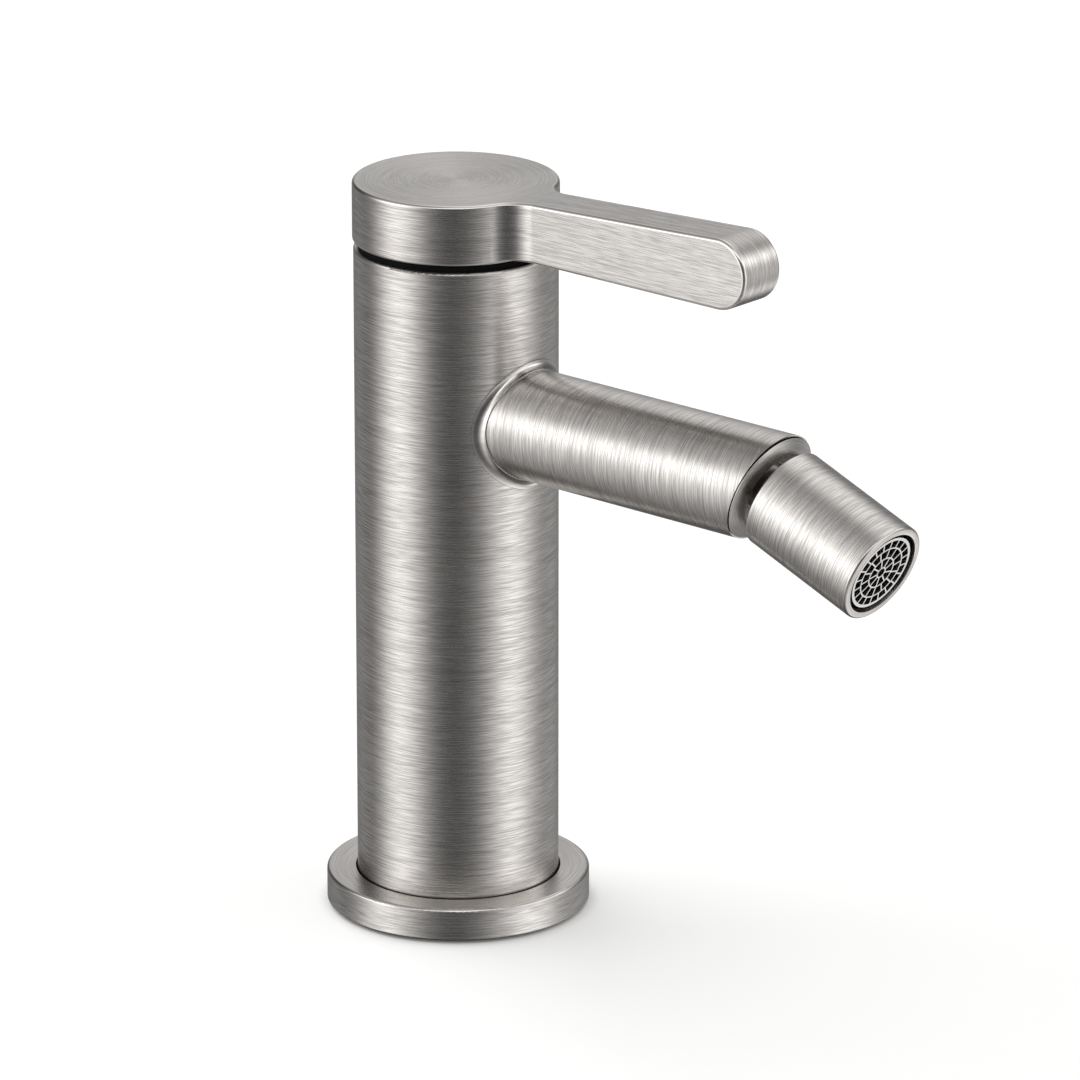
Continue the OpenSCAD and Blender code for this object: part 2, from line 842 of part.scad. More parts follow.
module ball_socket_ring() {
    mouth_r = ring_mouth_d / 2;
    flare_r = ring_flare_d / 2;
    color("silver")
        difference() {
            union() {
                intersection() {
                    at_joint()
                        translate([0, 0, ring_seam])
                            cylinder(r1 = shoulder_r, r2 = ring_lip_d / 2, h = ring_front - ring_seam);
                    along_spout()
                        rod(spout_r, 0, spout_reach + spout_d);
                }
                at_joint()
                    rod(ring_spigot_d / 2, ring_back, ring_seam + cut);
            }
            at_joint() {
                translate([0, 0, ball_s])
                    sphere(ball_socket_r);
                translate([0, 0, mouth_s])
                    cylinder(r1 = mouth_r, r2 = flare_r, h = ring_front - mouth_s);
                rod(flare_r, ring_front, ring_front + cut);
                rod(ball_socket_r, ring_back - cut, ball_s);
                rod(mouth_r, ball_s, mouth_s + cut);
            }
        }
}

module ball_seat_ring() {
    color("ivory")
        at_joint()
            difference() {
                rod(ball_seat_d / 2, ball_seat_end, ball_seat_front);
                translate([0, 0, ball_s])
                    sphere(ball_socket_r);
                rod(neck_bore / 2, ball_seat_end - cut, ball_seat_front + cut);
            }
}

module swivel_ball() {
    color("goldenrod")
        at_joint()
            difference() {
                union() {
                    translate([0, 0, ball_s])
                        sphere(ball_r);
                    rod(neck_d / 2, ball_s, neck_reach);
                }
                rod(neck_bore / 2, ball_s - ball_d, neck_reach + cut);
            }
}

module aerator_housing() {
    profile = [
        [0, rim_s],
        [rim_r, rim_s],
        [nozzle_r, rim_s + nozzle_bevel],
        [nozzle_r, nozzle_front - nozzle_edge],
        [nozzle_r - nozzle_edge, nozzle_front],
        [0, nozzle_front]
    ];
    color("silver")
        at_joint()
            difference() {
                turned_rounded(profile, nozzle_r, nozzle_front, nozzle_edge);
                translate([0, 0, ball_s])
                    sphere(dish_r);
                rod(neck_d / 2 + seat_gap, ball_s, neck_reach + cut);
                rod(nozzle_bore / 2, neck_reach, nozzle_front + cut);
            }
}

module aerator_washer() {
    color("dimgray")
        at_joint()
            ring(washer_bore / 2, core_r, neck_reach, core_back);
}

module aerator_insert() {
    skirt_r = core_r - core_wall;
    hole_r = skirt_r / 2;
    color("black")
        at_joint()
            difference() {
                union() {
                    rod(core_r, core_back, core_step);
                    rod(grille_r, core_back, grille_back);
                }
                rod(skirt_r, core_back - cut, core_plate_back);
                rod(grille_r - grille_rim, core_plate_front, grille_back + cut);
                for (i = [0:core_holes - 1])
                    rotate([0, 0, i * 360 / core_holes])
                        translate([hole_r, 0, 0])
                            rod(core_hole_d / 2, core_back, grille_back);
            }
}

module aerator_grille() {
    rows = len(grille_spokes);
    inner_r = grille_r - grille_rim;
    color("lightgray")
        at_joint()
            translate([0, 0, grille_back])
                linear_extrude(grille_t) {
                    difference() {
                        circle(grille_r);
                        circle(inner_r);
                    }
                    for (row = [0:rows - 1]) {
                        ring_r = grille_eye + row * grille_pitch;
                        end_r = row == rows - 1 ? inner_r : ring_r + grille_pitch - grille_bar;
                        difference() {
                            circle(ring_r);
                            circle(ring_r - grille_bar);
                        }
                        for (i = [0:grille_spokes[row] - 1])
                            rotate(i * 360 / grille_spokes[row])
                                translate([ring_r - grille_bar / 2, -grille_bar / 2])
                                    square([end_r - ring_r + grille_bar, grille_bar]);
                    }
                }
}

base_gasket();
base_flange();
body_shell();
inlet_block();
hot_inlet_tube();
cold_inlet_tube();
inlet_tube_o_rings();
cartridge_seat();
seat_o_ring();
cartridge_base();
cartridge_base_seals();
fixed_ceramic_disc();
moving_ceramic_disc();
cartridge_spindle();
spindle_o_ring();
cartridge_housing();
cartridge_nut();
glide_ring();
lever_handle();
handle_insert();
handle_grub_screw();
spout_nipple();
spout_o_ring();
spout_collar();
spout_tube();
ball_socket_ring();
ball_seat_ring();
swivel_ball();
aerator_housing();
aerator_washer();
aerator_insert();
aerator_grille();
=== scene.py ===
# %% [markdown]
# A single-hole bidet mixer in brushed stainless steel: a round body on a thin flange, a cap
# with a straight lever, a short spout and a nozzle on a ball joint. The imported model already
# has every piece at its real size and place, so this lesson dresses it: brushed metal, soft
# edges, a smooth cove at the spout's root, studio light and a camera at the photograph's view.

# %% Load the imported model
import math

import bmesh
import bpy
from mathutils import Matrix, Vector


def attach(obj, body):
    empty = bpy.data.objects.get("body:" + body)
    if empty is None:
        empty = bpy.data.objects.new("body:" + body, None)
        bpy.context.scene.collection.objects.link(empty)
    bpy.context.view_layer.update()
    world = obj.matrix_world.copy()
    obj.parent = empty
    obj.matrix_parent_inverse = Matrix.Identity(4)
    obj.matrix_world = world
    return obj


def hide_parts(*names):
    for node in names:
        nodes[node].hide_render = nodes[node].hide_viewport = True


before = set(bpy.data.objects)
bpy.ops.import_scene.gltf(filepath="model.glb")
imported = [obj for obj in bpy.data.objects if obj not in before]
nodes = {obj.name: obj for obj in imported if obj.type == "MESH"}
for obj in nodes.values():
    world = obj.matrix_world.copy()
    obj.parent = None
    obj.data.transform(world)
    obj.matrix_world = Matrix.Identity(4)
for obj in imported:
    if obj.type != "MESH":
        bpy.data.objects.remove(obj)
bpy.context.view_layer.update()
scene = bpy.context.scene
MM = 0.001
RIGHT_ANGLE = math.radians(90)

# %% [markdown]
# The camera comes first, because light and finish are judged through it. The photograph was
# taken from far away with a long lens, about 41 degrees round from the side that shows the
# spout in profile, and 18 degrees up. A camera could be moved by eye until things line up, but
# its distance and aim were worked out from the ellipses of cap and flange, which tell the
# view much more exactly.

# %% Camera
VIEW_TURN = math.radians(41.43)
VIEW_RISE = math.radians(18.386)
VIEW_DISTANCE = 1.56874
SENSOR_MM = 36.0
LENS_MM = 261.92
AIM_RIGHT = 0.016309
AIM_UP = 0.071050

view_right = Vector((math.cos(VIEW_TURN), math.sin(VIEW_TURN), 0))
view_back = Vector((
    math.sin(VIEW_TURN) * math.cos(VIEW_RISE),
    -math.cos(VIEW_TURN) * math.cos(VIEW_RISE),
    math.sin(VIEW_RISE),
))
view_up = view_back.cross(view_right)

lens = bpy.data.cameras.new("photo_view")
lens.sensor_width = SENSOR_MM
lens.lens = LENS_MM
camera = bpy.data.objects.new("photo_view", lens)
camera.location = view_back * VIEW_DISTANCE + view_right * AIM_RIGHT + view_up * AIM_UP
camera.rotation_mode = "QUATERNION"
camera.rotation_quaternion = (-view_back).to_track_quat("-Z", "Y")
scene.collection.objects.link(camera)
scene.camera = camera
print("camera at", [round(v, 4) for v in camera.location])

# %% [markdown]
# Every material here is a small node tree. It could be clicked together in the shader editor,
# but a script that adds nodes by a few short helpers can be read like a recipe. The first
# helpers add a node, join sockets and make a node group with named sockets.

# %% Helpers for nodes and groups
def add_node(tree, kind, **settings):
    """A node of this kind; settings that name an input socket set its value."""
    node = tree.nodes.new(kind)
    for key, value in settings.items():
        if hasattr(node, key):
            setattr(node, key, value)
        else:
            node.inputs[key.replace("_", " ")].default_value = value
    return node


def join(tree, source, target):
    tree.links.new(source, target)


def feed(tree, value, socket):
    """Joins a socket to this one, or sets a plain value on it."""
    if isinstance(value, bpy.types.NodeSocket):
        join(tree, value, socket)
    else:
        socket.default_value = value


def new_group(name, inputs, outputs):
    """A shader node group with named sockets, and its inner input and output nodes."""
    tree = bpy.data.node_groups.new(name, "ShaderNodeTree")
    for socket_name, kind, value in inputs:
        socket = tree.interface.new_socket(socket_name, in_out="INPUT", socket_type=kind)
        if value is not None:
            socket.default_value = value
    for socket_name, kind in outputs:
        tree.interface.new_socket(socket_name, in_out="OUTPUT", socket_type=kind)
    return tree, tree.nodes.new("NodeGroupInput"), tree.nodes.new("NodeGroupOutput")


def place_group(tree, group, **values):
    node = tree.nodes.new("ShaderNodeGroup")
    node.node_tree = group
    for key, value in values.items():
        feed(tree, value, node.inputs[key])
    return node


print("helpers for nodes ready")

# %% [markdown]
# The second helpers do sums in a node tree: numbers, vectors, mixes and ranges. Each takes
# sockets or plain values and gives back the socket with the result.

# %% Helpers for sums
MIX_SOCKETS = {"FLOAT": (2, 0), "VECTOR": (4, 1), "RGBA": (6, 2)}


def math_node(tree, operation, *values):
    node = add_node(tree, "ShaderNodeMath", operation=operation)
    for socket, value in zip(node.inputs, values):
        feed(tree, value, socket)
    return node.outputs[0]


def vector_node(tree, operation, *values, scale=None):
    node = add_node(tree, "ShaderNodeVectorMath", operation=operation)
    for socket, value in zip(node.inputs, values):
        feed(tree, value, socket)
    if scale is not None:
        feed(tree, scale, node.inputs["Scale"])
    return node.outputs["Value" if operation in ("LENGTH", "DOT_PRODUCT") else "Vector"]


def mix_node(tree, kind, factor, first, second):
    node = add_node(tree, "ShaderNodeMix", data_type=kind)
    start, result = MIX_SOCKETS[kind]
    join(tree, factor, node.inputs["Factor"])
    for socket, value in zip(node.inputs[start:start + 2], (first, second)):
        feed(tree, value, socket)
    return node.outputs[result]


def ramp(tree, value, low, high, to_low=0.0, to_high=1.0):
    """A Map Range node from low..high to to_low..to_high, clamped."""
    node = tree.nodes.new("ShaderNodeMapRange")
    for socket, number in zip(node.inputs[1:5], (low, high, to_low, to_high)):
        socket.default_value = number
    join(tree, value, node.inputs[0])
    return node.outputs[0]


def split(tree, vector):
    node = add_node(tree, "ShaderNodeSeparateXYZ")
    join(tree, vector, node.inputs[0])
    return list(node.outputs)


def combine(tree, *values):
    node = add_node(tree, "ShaderNodeCombineXYZ")
    for socket, value in zip(node.inputs, values):
        feed(tree, value, socket)
    return node.outputs[0]


print("helpers for sums ready")

# %% [markdown]
# Brushed steel gets its look from an abrasive belt that leaves countless short scratches, all
# running one way. On a turned piece they run round its axis, and on a flat turned face they
# are rings. A picture texture would need unwrapping and would show its seams, so the lines
# are noise that is squeezed across the scratches: about a seventh of a millimetre wide and a
# few millimetres long, with longer scratches among them and wide, faint bands over them. One
# group serves every piece, with the turning axis as Z.

# %% Group: brushed lines, where a spot lies
LINE_PITCH = 0.14 * MM
LINE_LENGTH = 4.5 * MM
MEAN_RADIUS = 12 * MM

brush, g_in, g_out = new_group(
    "brushed lines",
    [
        ("Place", "NodeSocketVector", None),
        ("Facing", "NodeSocketFloat", 0.0),
        ("Pitch", "NodeSocketFloat", LINE_PITCH),
        ("Length", "NodeSocketFloat", LINE_LENGTH),
    ],
    [("Lines", "NodeSocketFloat"), ("Bands", "NodeSocketFloat")],
)
x, y, z = split(brush, g_in.outputs["Place"])
flat = combine(brush, x, y, 0.0)
radius = vector_node(brush, "LENGTH", flat)
wheel = vector_node(brush, "SCALE", vector_node(brush, "NORMALIZE", flat), scale=MEAN_RADIUS)
along = mix_node(brush, "VECTOR", g_in.outputs["Facing"], flat, wheel)
across = mix_node(brush, "FLOAT", g_in.outputs["Facing"], z, radius)
print("group:", brush.name, [s.name for s in brush.interface.items_tree])

# %% Group: brushed lines, layers of scratches
FINE_SHARE = 0.62


def line_layer(stretch, widen):
    """One layer of scratches: stretch times as long and widen times as wide as the finest."""
    inverse = math_node(brush, "DIVIDE", 1.0 / stretch, g_in.outputs["Length"])
    slow_x, slow_y, _ = split(brush, vector_node(brush, "SCALE", along, scale=inverse))
    fast = math_node(brush, "DIVIDE", across, g_in.outputs["Pitch"])
    spot = combine(brush, slow_x, slow_y, math_node(brush, "MULTIPLY", fast, 1.0 / widen))
    noise = add_node(brush, "ShaderNodeTexNoise", Scale=1.0, Detail=1.0, Roughness=0.6)
    join(brush, spot, noise.inputs["Vector"])
    return noise.outputs[0]


fine = line_layer(1.0, 1.0)
long = line_layer(6.0, 1.5)
mixed = math_node(brush, "ADD", math_node(brush, "MULTIPLY", fine, FINE_SHARE),
                  math_node(brush, "MULTIPLY", long, 1.0 - FINE_SHARE))
join(brush, ramp(brush, mixed, 0.4, 0.6), g_out.inputs["Lines"])
join(brush, ramp(brush, line_layer(9.0, 9.0), 0.3, 0.7), g_out.inputs["Bands"])
print("brushed lines:", len(brush.nodes), "nodes")

# %% [markdown]
# Hands and cloths leave faint cloudy marks that change how sharply metal shines, and moulded
# or cast pieces have a fine grain. Both could be painted by hand, but plain noise at the right
# size is enough: centimetres for the smudges, a fraction of a millimetre for the grain.

# %% Groups: smudges and grain
SMUDGE_SIZE = 22 * MM
GRAIN_SIZE = 0.3 * MM


def cloud_group(name, size, detail, low, high):
    """A group that puts out one soft mask of noise whose clouds are about size metres wide."""
    tree, source, sink = new_group(
        name,
        [("Place", "NodeSocketVector", None), ("Size", "NodeSocketFloat", size)],
        [("Mask", "NodeSocketFloat")],
    )
    inverse = math_node(tree, "DIVIDE", 1.0, source.outputs["Size"])
    noise = add_node(tree, "ShaderNodeTexNoise", Detail=detail, Roughness=0.55)
    join(tree, source.outputs["Place"], noise.inputs["Vector"])
    join(tree, inverse, noise.inputs["Scale"])
    join(tree, ramp(tree, noise.outputs[0], low, high), sink.inputs["Mask"])
    return tree


smudges = cloud_group("smudges", SMUDGE_SIZE, 3.0, 0.35, 0.7)
grain = cloud_group("moulded grain", GRAIN_SIZE, 2.0, 0.25, 0.75)
print("groups:", smudges.name, "and", grain.name)

# %% [markdown]
# Where two pieces meet, the corner between them stays dark: little light gets in, and some
# polishing paste and dirt stay there. That darkness is painted into the steel's tint: mostly
# painted shade, with a little dirt. A thin black ring could be modelled in each joint, but
# Ambient Occlusion finds them all: it tells how much of its neighbourhood a spot can see
# within less than a millimetre, so its value is a mask for the painted joint shade.

# %% Group: joint shadow
JOINT_REACH = 0.6 * MM

joint_shadow, g_in, g_out = new_group(
    "joint shadow",
    [("Reach", "NodeSocketFloat", JOINT_REACH)],
    [("Clear", "NodeSocketFloat")],
)
corner = add_node(joint_shadow, "ShaderNodeAmbientOcclusion", samples=8)
join(joint_shadow, g_in.outputs["Reach"], corner.inputs["Distance"])
join(joint_shadow, ramp(joint_shadow, corner.outputs["AO"], 0.5, 0.9), g_out.inputs["Clear"])
print("group:", joint_shadow.name)

# %% [markdown]
# The tint of the steel is warm grey, lighter on the ridges between scratches and darker in
# them. The lines could be cut as real grooves, but they are far thinner than a mesh could
# hold, so they vary the tint and the roughness a little and push a very shallow bump. Turned
# faces are brushed more gently, so their rings are fainter.

# %% Steel finish
STEEL_LIGHT = (0.785, 0.755, 0.728, 1.0)
STEEL_DARK = (0.45, 0.428, 0.41, 1.0)
SMOOTH_DARK = (0.66, 0.63, 0.605, 1.0)
PAINTED_JOINT_SHADE = (0.09, 0.086, 0.082, 1.0)
LINE_SHARE, BAND_SHARE = 0.88, 0.12
FACE_CALM = 0.55
GROOVE_ROUGHNESS, RIDGE_GLOSS, MARK_ROUGHNESS = 0.28, -0.06, 0.04
GROOVE_DEPTH = 0.03 * MM


def new_metal(name, anisotropic=0.0):
    """A material with a metal shader; gives the material, its tree and the shader."""
    material = bpy.data.materials.new(name)
    material.use_nodes = True
    tree = material.node_tree
    shader = tree.nodes["Principled BSDF"]
    shader.inputs["Metallic"].default_value = 1.0
    shader.inputs["Anisotropic"].default_value = anisotropic
    return material, tree, shader


def finish_steel(tree, shader, lines, bands, marks, facing):
    """Tint with painted shade in the joints, roughness and bump of brushed steel; gives back
    the bump node.
    """
    tone = math_node(tree, "MULTIPLY_ADD", bands, BAND_SHARE,
                     math_node(tree, "MULTIPLY", lines, LINE_SHARE))
    calm = math_node(tree, "SUBTRACT", 1.0, math_node(tree, "MULTIPLY", facing, FACE_CALM))
    tone = math_node(tree, "MULTIPLY_ADD", math_node(tree, "SUBTRACT", tone, 0.5), calm, 0.5)
    tint = mix_node(tree, "RGBA", tone, STEEL_DARK, STEEL_LIGHT)
    # Where Ambient Occlusion finds a joint, shade is painted into the tint.
    clear = place_group(tree, joint_shadow).outputs["Clear"]
    join(tree, mix_node(tree, "RGBA", clear, PAINTED_JOINT_SHADE, tint), shader.inputs["Base Color"])
    rough = math_node(tree, "MULTIPLY_ADD", lines, RIDGE_GLOSS, GROOVE_ROUGHNESS)
    rough = math_node(tree, "MULTIPLY_ADD", marks, MARK_ROUGHNESS, rough)
    join(tree, rough, shader.inputs["Roughness"])
    bump = add_node(tree, "ShaderNodeBump", Strength=0.2, Distance=GROOVE_DEPTH)
    join(tree, lines, bump.inputs["Height"])
    join(tree, bump.outputs[0], shader.inputs["Normal"])
    return bump


print("steel from", STEEL_DARK[:3], "to", STEEL_LIGHT[:3])

# %% [markdown]
# Body, flange, spout and nozzle are turned on a lathe, each about its own axis. Instead of
# unwrapping them, the material measures every spot in a frame whose Z is that axis. The
# normal in that frame tells a side from a flat face, and an edge from both. Sides are made of
# flat facets whose normals lean a little sideways at one seam, and that lean is taken out.

# %% Turned pieces
FACE_LIMIT = 0.72


def about_axis(tree, source, axis_turn, axis_point=(0, 0, 0)):
    """A place or direction on the piece, in a frame whose Z is the turning axis."""
    node = add_node(tree, "ShaderNodeMapping", vector_type="TEXTURE",
                    Location=axis_point, Rotation=axis_turn)
    join(tree, source, node.inputs["Vector"])
    return node.outputs[0]


def off_axis(tree, way, axis_turn, kind):
    """A direction in the axis frame, turned back to the piece and then to the world."""
    back = add_node(tree, "ShaderNodeMapping", vector_type="VECTOR", Rotation=axis_turn)
    join(tree, way, back.inputs["Vector"])
    return to_world(tree, back.outputs[0], kind)


def to_world(tree, way, kind):
    """A direction on the piece as it stands in the world, whatever the pose."""
    turned = add_node(tree, "ShaderNodeVectorTransform", vector_type=kind,
                      convert_from="OBJECT", convert_to="WORLD")
    join(tree, way, turned.inputs[0])
    return turned.outputs[0]


def turned_frame(tree, axis_point=(0, 0, 0), axis_turn=(0, 0, 0)):
    """Place and normal about the axis, how far the normal leans to it, and a face mask."""
    coords = add_node(tree, "ShaderNodeTexCoord")
    place = about_axis(tree, coords.outputs["Object"], axis_turn, axis_point)
    normal = about_axis(tree, coords.outputs["Normal"], axis_turn)
    lean = math_node(tree, "ABSOLUTE", split(tree, normal)[2])
    return place, normal, lean, math_node(tree, "GREATER_THAN", lean, FACE_LIMIT)


def true_round(tree, place, normal, facing):
    """The normal of a turned side without the sideways lean that its facets give it."""
    level = vector_node(tree, "MULTIPLY", place, (1, 1, 0))
    outward = vector_node(tree, "NORMALIZE", level)
    share = vector_node(tree, "DOT_PRODUCT", normal, outward)
    radial = vector_node(tree, "SCALE", outward, scale=share)
    upright = vector_node(tree, "MULTIPLY_ADD", normal, (0, 0, 1), radial)
    return mix_node(tree, "VECTOR", facing, upright, normal)


print("turned faces: normal within", round(math.degrees(math.acos(FACE_LIMIT))), "degrees")

# %% [markdown]
# The brushed steel itself. A brushed surface scatters light much more across its scratches
# than along them, which is what draws the tall bright columns on the body and the fan on the
# cap. Real grooves would do that by themselves if they could be modelled, and the Principled
# shader's Anisotropic value does it without them. Its Tangent says which way the light is
# drawn out: along the axis on a turned side, and outwards on a turned face. The rounded edges
# are rubbed shinier than the surfaces beside them.

# %% Brushed and smooth steel
ANISOTROPY = 0.85
TURNED_EDGE_ROUGHNESS = 0.22
TRACE = 0.04


def polish_edges(tree, shader, lean):
    """Makes a rounded edge shinier than the brushed surface beside it."""
    edge = math_node(tree, "MULTIPLY", ramp(tree, lean, 0.06, 0.2),
                     ramp(tree, lean, 0.9, 0.98, 1.0, 0.0))
    rough = shader.inputs["Roughness"].links[0].from_socket
    join(tree, mix_node(tree, "FLOAT", edge, rough, TURNED_EDGE_ROUGHNESS),
         shader.inputs["Roughness"])


def drawn_out(tree, place, facing):
    """Which way light is drawn out: along the axis on sides, outwards on faces."""
    x, y, _ = split(tree, place)
    return combine(tree, math_node(tree, "MULTIPLY", x, facing),
                   math_node(tree, "MULTIPLY", y, facing),
                   math_node(tree, "SUBTRACT", 1.0, facing))


def brushed_steel(name, axis_point=(0, 0, 0), axis_turn=(0, 0, 0)):
    """Steel brushed round an axis; a face square to that axis shows rings."""
    material, tree, shader = new_metal(name, ANISOTROPY)
    place, normal, lean, facing = turned_frame(tree, axis_point, axis_turn)
    lines = place_group(tree, brush, Place=place, Facing=facing)
    marks = place_group(tree, smudges, Place=place)
    bump = finish_steel(tree, shader, lines.outputs["Lines"], lines.outputs["Bands"],
                        marks.outputs["Mask"], facing)
    rounded = true_round(tree, place, normal, facing)
    join(tree, off_axis(tree, rounded, axis_turn, "NORMAL"), bump.inputs["Normal"])
    polish_edges(tree, shader, lean)
    join(tree, off_axis(tree, drawn_out(tree, place, facing), axis_turn, "VECTOR"),
         shader.inputs["Tangent"])
    return material


def smooth_steel(name, roughness):
    """Steel rubbed smooth, with only a trace of the lines, for edges and the cove."""
    material, tree, shader = new_metal(name)
    coords = add_node(tree, "ShaderNodeTexCoord")
    lines = place_group(tree, brush, Place=coords.outputs["Object"])
    join(tree, mix_node(tree, "RGBA", lines.outputs["Bands"], SMOOTH_DARK, STEEL_LIGHT),
         shader.inputs["Base Color"])
    join(tree, math_node(tree, "MULTIPLY_ADD", lines.outputs["Lines"], TRACE, roughness),
         shader.inputs["Roughness"])
    return material


print("brushed and smooth steel ready")

# %% [markdown]
# Three brushed materials cover the turned pieces, because there are three axes: the upright
# one of body and flange, the level one of the spout, and the falling one of the nozzle and
# the ring at the spout's end. A material per piece would only repeat them.

# %% Dress the turned pieces
SPOUT_Z = 102.9 * MM
BALL_CENTRE = (75.681 * MM, 0.0, 104.372 * MM)
NOZZLE_FALL = math.radians(21.6)


def dress(material, *names):
    """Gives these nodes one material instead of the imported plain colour."""
    for name in names:
        mesh = nodes[name].data
        mesh.materials.clear()
        mesh.materials.append(material)


body_steel = brushed_steel("body_steel")
spout_steel = brushed_steel("spout_steel", axis_point=(0, 0, SPOUT_Z),
                            axis_turn=(0, RIGHT_ANGLE, 0))
nozzle_steel = brushed_steel("nozzle_steel", axis_point=BALL_CENTRE,
                             axis_turn=(0, RIGHT_ANGLE + NOZZLE_FALL, 0))
dress(body_steel, "body_shell", "base_flange")
dress(spout_steel, "spout_tube")
dress(nozzle_steel, "aerator_housing", "ball_socket_ring")
print("brushed steel on body, flange, spout, ring and nozzle")

# %% [markdown]
# The cap and lever are one piece. Its edges are rounded by a little less than a millimetre,
# which catches the thin white lines that outline it in the photograph. A bevel in the material
# would leave the outline sharp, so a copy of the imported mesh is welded, its flats are made
# whole again and its outer edges are bevelled. The pocket and the screw hole stay sharp.

# %% Handle mesh helpers
WELD = 0.002 * MM
FLAT = math.radians(0.4)
SHARP = math.radians(35)
POCKET_R = 17.2 * MM
EDGE_R = 0.7 * MM
SCREW_HALF_WIDTH = 3 * MM
SCREW_LOW, SCREW_HIGH = 140 * MM, 146 * MM


def welded_copy(name):
    """A bmesh of a node's shape with its split corners joined and its flats made whole."""
    shape = bmesh.new()
    shape.from_mesh(nodes[name].data)
    bmesh.ops.remove_doubles(shape, verts=shape.verts[:], dist=WELD)
    bmesh.ops.dissolve_limit(shape, angle_limit=FLAT, verts=shape.verts[:],
                             edges=shape.edges[:], use_dissolve_boundaries=False)
    return shape


def is_sharp(edge):
    return len(edge.link_faces) != 2 or edge.calc_face_angle() >= SHARP


def is_outer(edge):
    """True for a sharp edge on the handle's outside, away from the pocket and screw hole."""
    if len(edge.link_faces) != 2 or not is_sharp(edge):
        return False
    middle = (edge.verts[0].co + edge.verts[1].co) / 2
    at_screw = (middle.x < 0 and abs(middle.y) < SCREW_HALF_WIDTH
                and SCREW_LOW < middle.z < SCREW_HIGH)
    return middle.xy.length > POCKET_R + EDGE_R and not at_screw


def keep_piece(shape, name, node, body, material):
    """The finished bmesh as an object that rides on a body in place of a node."""
    mesh = bpy.data.meshes.new(name)
    shape.to_mesh(mesh)
    shape.free()
    mesh.materials.append(material)
    for face in mesh.polygons:
        face.use_smooth = True
    piece = bpy.data.objects.new(name, mesh)
    scene.collection.objects.link(piece)
    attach(piece, body)
    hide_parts(node)
    return piece


print("handle edges rounded by", EDGE_R, "m")

# %% Handle mesh
EDGE_STEPS = 5

handle_shape = welded_copy("lever_handle")
outer = [edge for edge in handle_shape.edges if is_outer(edge)]
bmesh.ops.bevel(handle_shape, geom=outer, offset=EDGE_R, offset_type="OFFSET",
                segments=EDGE_STEPS, profile=0.5, affect="EDGES", clamp_overlap=False,
                material=1)
for edge in handle_shape.edges:
    edge.smooth = not is_sharp(edge)
print("handle: bevelled", len(outer), "edges, now", len(handle_shape.faces), "faces")

# %% [markdown]
# The handle has three kinds of brushing: rings on the cap's top, level lines round the cap and
# along the lever's sides, and lengthwise lines on the lever's top and round its end. Three
# separate materials would meet in hard borders, so one material blends them with masks that
# come from the place and the normal of each spot.

# %% Handle finish, masks
LEVER_START, LEVER_CLEAR, LEVER_END = 16 * MM, 27 * MM, 60 * MM

handle_steel, tree, shader = new_metal("handle_steel", ANISOTROPY)
place, normal, _, facing = turned_frame(tree)
x, y, _ = split(tree, place)
sideways = math_node(tree, "ABSOLUTE", split(tree, normal)[1])
on_top = math_node(tree, "MULTIPLY", facing, ramp(tree, x, LEVER_START, LEVER_CLEAR))
on_end = math_node(tree, "MULTIPLY", math_node(tree, "GREATER_THAN", x, LEVER_END),
                   math_node(tree, "LESS_THAN", sideways, FACE_LIMIT))
on_lever = math_node(tree, "MAXIMUM", on_top, on_end)
on_cap_top = math_node(tree, "MULTIPLY", facing, math_node(tree, "SUBTRACT", 1.0, on_lever))
print("rings fade into lengthwise lines from", LEVER_START, "to", LEVER_CLEAR, "m")

# %% Handle finish, lines and light
CAP_R = 20.2 * MM
EDGE_ROUGHNESS = 0.12

rings = place_group(tree, brush, Place=place, Facing=facing)
on_side = about_axis(tree, place, (RIGHT_ANGLE, 0, 0))
lengthwise = place_group(tree, brush, Place=on_side)
marks = place_group(tree, smudges, Place=place)
lines, bands = [
    mix_node(tree, "FLOAT", on_lever, rings.outputs[layer], lengthwise.outputs[layer])
    for layer in ("Lines", "Bands")
]
finish_steel(tree, shader, lines, bands, marks.outputs["Mask"], on_cap_top)
across_lever = math_node(tree, "MULTIPLY", on_lever, CAP_R)
way = combine(tree, math_node(tree, "MULTIPLY", x, on_cap_top),
              math_node(tree, "MULTIPLY_ADD", y, on_cap_top, across_lever),
              math_node(tree, "SUBTRACT", 1.0, math_node(tree, "MAXIMUM", facing, on_end)))
join(tree, to_world(tree, way, "VECTOR"), shader.inputs["Tangent"])
handle = keep_piece(handle_shape, "cap_and_lever", "lever_handle", "handle",
                    handle_steel)
handle.modifiers.new("flat faces stay flat", "WEIGHTED_NORMAL").keep_sharp = True
handle.data.materials.append(smooth_steel("edge_steel", EDGE_ROUGHNESS))
print("handle box", [round(v, 4) for v in handle.dimensions])

# %% [markdown]
# Where the spout leaves the body, a thin cove runs all round the joint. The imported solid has
# the right shape in coarse facets. Subdividing it would soften its lips, so the same curve is
# lofted again with many more sections: each is a hollow curve from the spout to the body,
# worked out from the two cylinders that it joins, with the normal that each point should have.

# %% Spout cove, one section
BODY_R = 20.0 * MM
SPOUT_R = 10.9 * MM
SEAT_GAP = 0.05 * MM
COVE_W = 1.9 * MM
COVE_H = 0.6 * MM
COVE_LIP = 0.15 * MM
COVE_STEPS = 14
COVE_SWEEP = 1.5


def around_spout(x, r, turn):
    return Vector((x, r * math.cos(turn), SPOUT_Z + r * math.sin(turn)))


def saddle_x(big, r, turn):
    """How far out a circle round the spout meets a cylinder round the body."""
    return math.sqrt(big ** 2 - (r * math.cos(turn)) ** 2)


def off_body(point):
    """The direction straight out of the body at this height."""
    return Vector((point.x, point.y, 0)).normalized()


